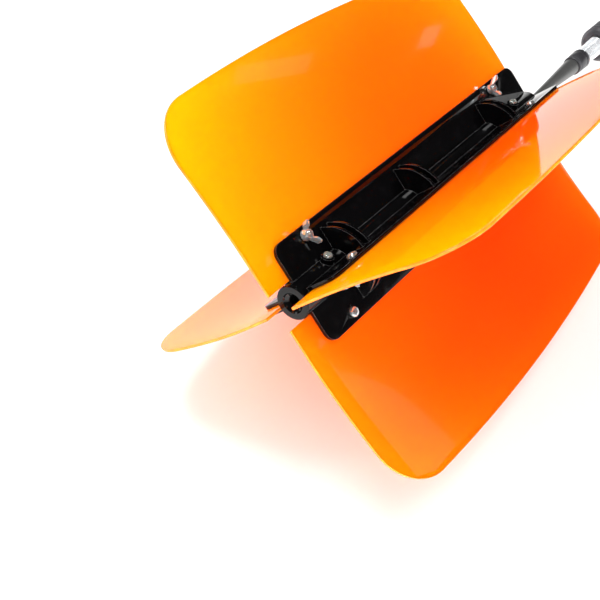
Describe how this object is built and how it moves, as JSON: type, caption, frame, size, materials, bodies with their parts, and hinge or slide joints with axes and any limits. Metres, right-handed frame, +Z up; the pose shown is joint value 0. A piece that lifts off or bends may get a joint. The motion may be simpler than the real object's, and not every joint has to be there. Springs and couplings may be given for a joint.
{
  "type": "golf swing resistance fan",
  "caption": "Golf swing resistance trainer: a cross of orange plastic blades clamped in a black ribbed hub, on a grey neck with a coil spring and a rubber grip.",
  "frame": {"origin": "middle of the footprint on the floor that the trainer rests on", "axes": "+X along the trainer from the tip of the head to the butt of the grip, +Z up; the shaft slopes down towards the grip"},
  "size_m": [0.781, 0.2304, 0.2374],
  "materials": {
    "blade_plastic": "glossy, slightly translucent orange plastic with brighter yellow edges",
    "hub_plastic": "glossy black moulded plastic",
    "bolt_zinc": "bright zinc-plated steel",
    "nut_zinc": "bright zinc-plated steel",
    "screw_zinc": "zinc-plated steel",
    "rod_steel": "plain steel",
    "tube_steel": "plain steel tube",
    "neck_grey": "satin grey paint",
    "ferrule_rubber": "dark grey rubber",
    "spring_chrome": "bright chrome wire",
    "cup_rubber": "dark ribbed rubber",
    "grip_rubber": "black patterned rubber",
    "cap_plastic": "black satin plastic"
  },
  "bodies": {
    "head": {"hub_bracket_top": "hub_plastic", "hub_bracket_right": "hub_plastic", "hub_bracket_bottom": "hub_plastic", "hub_bracket_left": "hub_plastic", "clamp_bolt_upper_left_tip": "bolt_zinc", "clamp_bolt_upper_left_butt": "bolt_zinc", "clamp_bolt_upper_right_tip": "bolt_zinc", "clamp_bolt_upper_right_butt": "bolt_zinc", "clamp_bolt_lower_right_tip": "bolt_zinc", "clamp_bolt_lower_right_butt": "bolt_zinc", "clamp_bolt_lower_left_tip": "bolt_zinc", "clamp_bolt_lower_left_butt": "bolt_zinc", "shaft_screw_top_tip": "screw_zinc", "shaft_screw_top_butt": "screw_zinc", "shaft_screw_right_tip": "screw_zinc", "shaft_screw_right_butt": "screw_zinc", "shaft_screw_bottom_tip": "screw_zinc", "shaft_screw_bottom_butt": "screw_zinc", "shaft_screw_left_tip": "screw_zinc", "shaft_screw_left_butt": "screw_zinc", "tip_bush": "hub_plastic", "core_rod": "rod_steel", "rear_bush": "hub_plastic", "neck_shaft": "neck_grey", "neck_ferrule": "ferrule_rubber", "coil_spring": "spring_chrome"},
    "blade_upper_left": {"blade_upper_left": "blade_plastic"},
    "blade_upper_right": {"blade_upper_right": "blade_plastic"},
    "blade_lower_right": {"blade_lower_right": "blade_plastic"},
    "blade_lower_left": {"blade_lower_left": "blade_plastic"},
    "wing_nut_upper_left_tip": {"wing_nut_upper_left_tip": "nut_zinc"},
    "wing_nut_upper_left_butt": {"wing_nut_upper_left_butt": "nut_zinc"},
    "wing_nut_upper_right_tip": {"wing_nut_upper_right_tip": "nut_zinc"},
    "wing_nut_upper_right_butt": {"wing_nut_upper_right_butt": "nut_zinc"},
    "wing_nut_lower_right_tip": {"wing_nut_lower_right_tip": "nut_zinc"},
    "wing_nut_lower_right_butt": {"wing_nut_lower_right_butt": "nut_zinc"},
    "wing_nut_lower_left_tip": {"wing_nut_lower_left_tip": "nut_zinc"},
    "wing_nut_lower_left_butt": {"wing_nut_lower_left_butt": "nut_zinc"},
    "handle": {"handle_plug": "rod_steel", "handle_tube": "tube_steel", "grip_cup": "cup_rubber", "grip": "grip_rubber", "grip_cap": "cap_plastic"}
  },
  "joints": [
    {"name": "blade_slide_upper_left", "type": "slide", "parent": "head", "child": "blade_upper_left", "axis": [0.1206, 0.7071, 0.6967], "range_m": [0, 0.03]},
    {"name": "blade_slide_upper_right", "type": "slide", "parent": "head", "child": "blade_upper_right", "axis": [0.1206, -0.7071, 0.6967], "range_m": [0, 0.03]},
    {"name": "blade_slide_lower_right", "type": "slide", "parent": "head", "child": "blade_lower_right", "axis": [-0.1206, -0.7071, -0.6967], "range_m": [0, 0.03]},
    {"name": "blade_slide_lower_left", "type": "slide", "parent": "head", "child": "blade_lower_left", "axis": [-0.1206, 0.7071, -0.6967], "range_m": [0, 0.03]},
    {"name": "wing_nut_turn_upper_left_tip", "type": "hinge", "parent": "head", "child": "wing_nut_upper_left_tip", "pos_m": [-0.32215, 0.01796, 0.16089], "axis": [0.1206, -0.7071, 0.6967], "continuous": true},
    {"name": "wing_nut_turn_upper_left_butt", "type": "hinge", "parent": "head", "child": "wing_nut_upper_left_butt", "pos_m": [-0.05709, 0.01796, 0.115], "axis": [0.1206, -0.7071, 0.6967], "continuous": true},
    {"name": "wing_nut_turn_upper_right_tip", "type": "hinge", "parent": "head", "child": "wing_nut_upper_right_tip", "pos_m": [-0.32314, -0.02376, 0.15518], "axis": [-0.1206, -0.7071, -0.6967], "continuous": true},
    {"name": "wing_nut_turn_upper_right_butt", "type": "hinge", "parent": "head", "child": "wing_nut_upper_right_butt", "pos_m": [-0.05808, -0.02376, 0.10929], "axis": [-0.1206, -0.7071, -0.6967], "continuous": true},
    {"name": "wing_nut_turn_lower_right_tip", "type": "hinge", "parent": "head", "child": "wing_nut_lower_right_tip", "pos_m": [-0.33025, -0.01796, 0.11407], "axis": [-0.1206, 0.7071, -0.6967], "continuous": true},
    {"name": "wing_nut_turn_lower_right_butt", "type": "hinge", "parent": "head", "child": "wing_nut_lower_right_butt", "pos_m": [-0.0652, -0.01796, 0.06818], "axis": [-0.1206, 0.7071, -0.6967], "continuous": true},
    {"name": "wing_nut_turn_lower_left_tip", "type": "hinge", "parent": "head", "child": "wing_nut_lower_left_tip", "pos_m": [-0.32926, 0.02376, 0.11978], "axis": [0.1206, 0.7071, 0.6967], "continuous": true},
    {"name": "wing_nut_turn_lower_left_butt", "type": "hinge", "parent": "head", "child": "wing_nut_lower_left_butt", "pos_m": [-0.06421, 0.02376, 0.0739], "axis": [0.1206, 0.7071, 0.6967], "continuous": true},
    {"name": "neck_flex", "type": "hinge", "parent": "head", "child": "handle", "pos_m": [0.11445, 0, 0.06119], "axis": [0.1706, 0, 0.9853], "range_deg": [-20, 20], "stiffness_Nm_per_rad": 15, "deforming": ["coil_spring"]}
  ]
}
